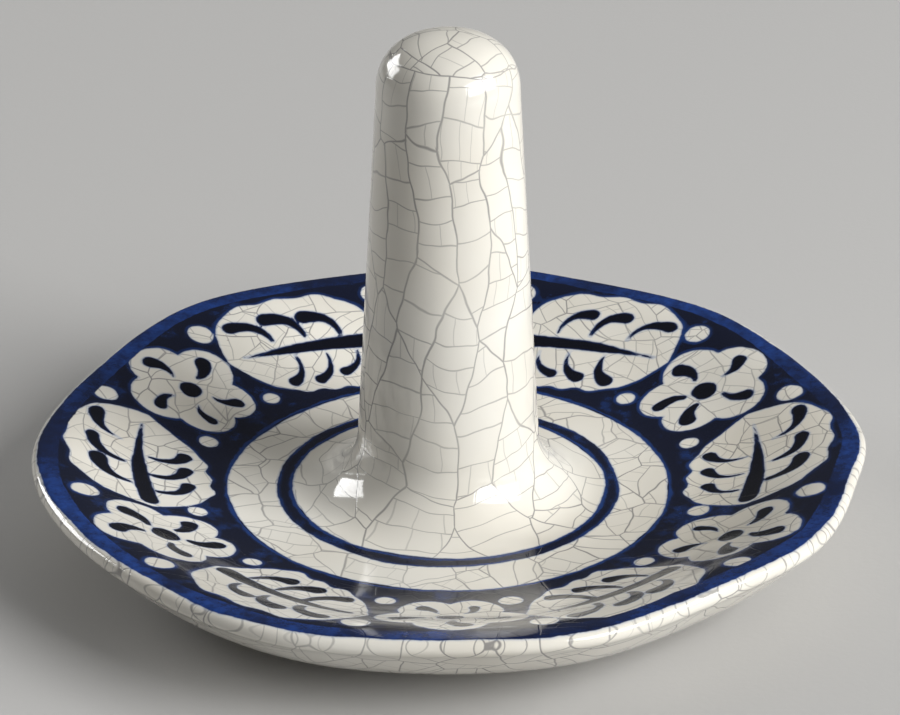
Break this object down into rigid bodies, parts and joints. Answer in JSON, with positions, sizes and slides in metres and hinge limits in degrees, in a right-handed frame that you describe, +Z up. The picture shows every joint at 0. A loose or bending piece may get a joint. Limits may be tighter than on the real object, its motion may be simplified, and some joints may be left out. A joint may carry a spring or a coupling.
{
  "type": "ring dish",
  "caption": "Shallow round ceramic dish with a soft-cornered rim and a tall rounded post in the middle that finger rings are dropped over, on a low foot ring.",
  "frame": {"origin": "on the table under the middle of the post, at the centre of the foot ring's rest plane", "axes": "+Z up along the post; +X towards the rim's corner at 0 degrees"},
  "size_m": [0.1044, 0.1046, 0.0666],
  "materials": {
    "dish_glaze": "glossy ivory crackle glaze, painted in navy",
    "post_glaze": "glossy ivory crackle glaze",
    "bare_clay": "bare fired clay, wiped clean of glaze"
  },
  "bodies": {
    "root": {"dish": "dish_glaze", "foot_ring": "bare_clay", "ring_post": "post_glaze", "luting_coil": "post_glaze"}
  },
  "joints": []
}
